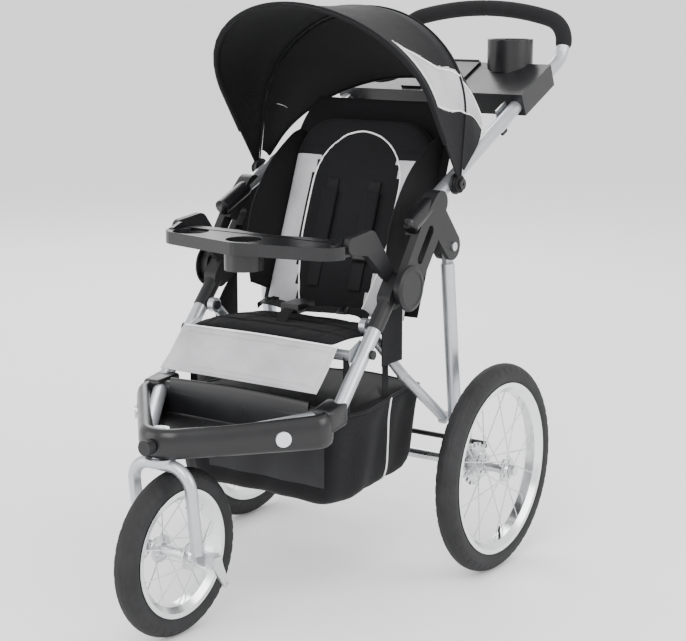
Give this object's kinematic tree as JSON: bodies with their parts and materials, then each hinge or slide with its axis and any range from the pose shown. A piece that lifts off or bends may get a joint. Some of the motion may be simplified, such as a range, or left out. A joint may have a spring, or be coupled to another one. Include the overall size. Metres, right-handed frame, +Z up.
{
  "type": "jogging stroller",
  "caption": "Three-wheel jogging stroller with swivelling front wheel, folding tube frame, reclining seat, hood, trays and basket.",
  "frame": {"origin": "middle of the whole stroller's footprint, on the ground", "axes": "+Z up, -Y towards the front wheel, +X towards the child's left; the frame is symmetric about the plane X = 0"},
  "size_m": [0.658, 1.1844, 1.0365],
  "materials": {
    "tyre_rubber": "matt, moulded tread",
    "rim_alloy": "polished",
    "steel": "zinc plated, satin",
    "silver_paint": "satin metallic paint",
    "black_plastic": "fine moulded grain",
    "gloss_black": "semi gloss",
    "foam": "closed-cell foam",
    "black_cloth": "woven polyester",
    "grey_cloth": "woven polyester",
    "webbing": "flat woven webbing",
    "reflector": "moulded prism lens"
  },
  "bodies": {
    "front_frame": {"head_tube": "steel", "footrest_tray": "black_plastic", "reflectors": "reflector", "front_tubes": "silver_paint", "tube_sleeves": "black_plastic", "seat_crossbars": "silver_paint", "frame_bolts": "black_plastic", "lower_hinges": "black_plastic", "hinge_caps": "black_plastic", "tray_brackets": "black_plastic", "seat_cushion": "black_cloth", "calf_rest": "grey_cloth", "side_panels": "black_cloth", "buckle": "gloss_black", "lap_straps": "webbing", "basket": "black_cloth", "basket_straps": "webbing"},
    "swivel_lock": {"swivel_lock_knob": "black_plastic"},
    "fork": {"fork": "silver_paint", "front_axle": "steel"},
    "front_wheel": {"front_tyre": "tyre_rubber", "front_inner_tube": "tyre_rubber", "front_rim": "rim_alloy", "front_spokes": "steel", "front_hub": "steel"},
    "quick_release": {"quick_release_lever": "steel"},
    "handle_frame": {"handle_tube": "silver_paint", "grip_tube": "silver_paint", "foam_grip": "foam", "parent_tray": "black_plastic", "upper_hinges": "black_plastic", "leg_pivot_pins": "steel", "latch_brackets": "steel", "canopy_mounts": "black_plastic", "canopy_rear_panel": "black_cloth", "recline_strap": "webbing"},
    "storage_lid": {"storage_lid": "black_plastic"},
    "trigger_left": {"fold_trigger_left": "black_plastic"},
    "trigger_right": {"fold_trigger_right": "black_plastic"},
    "canopy_middle": {"canopy_middle_bow": "black_plastic"},
    "canopy_front": {"canopy_front_bow": "black_cloth", "canopy_front_panel": "grey_cloth"},
    "rear_legs": {"rear_legs": "silver_paint", "rear_axle": "steel", "axle_brackets": "steel"},
    "brake": {"brake_pedal": "black_plastic"},
    "rear_wheel_left": {"rear_tyre_left": "tyre_rubber", "rear_rim_left": "rim_alloy", "rear_spokes_left": "steel", "rear_hub_left": "steel", "rear_tube_left": "tyre_rubber"},
    "rear_wheel_right": {"rear_tyre_right": "tyre_rubber", "rear_rim_right": "rim_alloy", "rear_spokes_right": "steel", "rear_hub_right": "steel", "rear_tube_right": "tyre_rubber"},
    "brace": {"braces": "silver_paint"},
    "child_tray": {"child_tray": "black_plastic"},
    "backrest": {"backrest": "black_cloth", "shoulder_straps": "webbing"}
  },
  "joints": [
    {"name": "swivel_lock_pull", "type": "slide", "parent": "front_frame", "child": "swivel_lock", "axis": [0, -1, 0], "range_m": [0, 0.006], "stiffness_N_per_m": 600, "springref_m": -0.004},
    {"name": "fork_swivel", "type": "hinge", "parent": "front_frame", "child": "fork", "pos_m": [0, -0.48175, 0.3], "axis": [0, 0, 1], "continuous": true},
    {"name": "front_wheel_spin", "type": "hinge", "parent": "fork", "child": "front_wheel", "pos_m": [0, -0.44875, 0.1435], "axis": [1, 0, 0], "continuous": true},
    {"name": "quick_release_turn", "type": "hinge", "parent": "fork", "child": "quick_release", "pos_m": [0, -0.44875, 0.1435], "axis": [1, 0, 0], "range_deg": [0, 90]},
    {"name": "handle_fold", "type": "hinge", "parent": "front_frame", "child": "handle_frame", "pos_m": [0, -0.07075, 0.553], "axis": [1, 0, 0], "range_deg": [0, 135]},
    {"name": "storage_lid_open", "type": "hinge", "parent": "handle_frame", "child": "storage_lid", "pos_m": [0, 0.45238, 0.91535], "axis": [1, 0, 0], "range_deg": [-95, 0]},
    {"name": "fold_trigger_left_squeeze", "type": "hinge", "parent": "handle_frame", "child": "trigger_left", "pos_m": [0, 0.3362, 0.80561], "axis": [1, 0, 0], "range_deg": [0, 20], "stiffness_Nm_per_rad": 0.4, "springref_deg": -11.46},
    {"name": "fold_trigger_right_squeeze", "type": "hinge", "parent": "handle_frame", "child": "trigger_right", "pos_m": [0, 0.3362, 0.80561], "axis": [1, 0, 0], "range_deg": [0, 20], "stiffness_Nm_per_rad": 0.4, "springref_deg": -11.46},
    {"name": "canopy_middle_turn", "type": "hinge", "parent": "handle_frame", "child": "canopy_middle", "pos_m": [0, 0.08625, 0.71841], "axis": [1, 0, 0], "range_deg": [-41, 0]},
    {"name": "canopy_front_turn", "type": "hinge", "parent": "canopy_middle", "child": "canopy_front", "pos_m": [0, 0.08625, 0.71841], "axis": [1, 0, 0], "range_deg": [-39, 0]},
    {"name": "leg_fold", "type": "hinge", "parent": "handle_frame", "child": "rear_legs", "pos_m": [0, 0.07575, 0.607], "axis": [1, 0, 0], "range_deg": [-38, 0]},
    {"name": "brace_fold", "type": "hinge", "parent": "front_frame", "child": "brace", "pos_m": [0, -0.12875, 0.4914], "axis": [1, 0, 0], "range_deg": [0, 87]},
    {"name": "brake_press", "type": "hinge", "parent": "rear_legs", "child": "brake", "pos_m": [0, 0.15195, 0.2426], "axis": [1, 0, 0], "range_deg": [-18, 0]},
    {"name": "rear_wheel_left_spin", "type": "hinge", "parent": "rear_legs", "child": "rear_wheel_left", "pos_m": [0.286, 0.12425, 0.194], "axis": [1, 0, 0], "continuous": true},
    {"name": "rear_wheel_right_spin", "type": "hinge", "parent": "rear_legs", "child": "rear_wheel_right", "pos_m": [-0.286, 0.12425, 0.194], "axis": [1, 0, 0], "continuous": true},
    {"name": "child_tray_lift", "type": "hinge", "parent": "front_frame", "child": "child_tray", "pos_m": [0, -0.20375, 0.64], "axis": [1, 0, 0], "range_deg": [-80, 0]},
    {"name": "backrest_recline", "type": "hinge", "parent": "front_frame", "child": "backrest", "pos_m": [0, 0.00325, 0.474], "axis": [1, 0, 0], "range_deg": [-25, 0]}
  ],
  "couplings": [
    {"joint": "canopy_middle_turn", "follows": "handle_fold", "ratio": -0.3037},
    {"joint": "leg_fold", "follows": "handle_fold", "ratio": -0.28},
    {"joint": "brace_fold", "follows": "handle_fold", "ratio": 0.64}
  ]
}
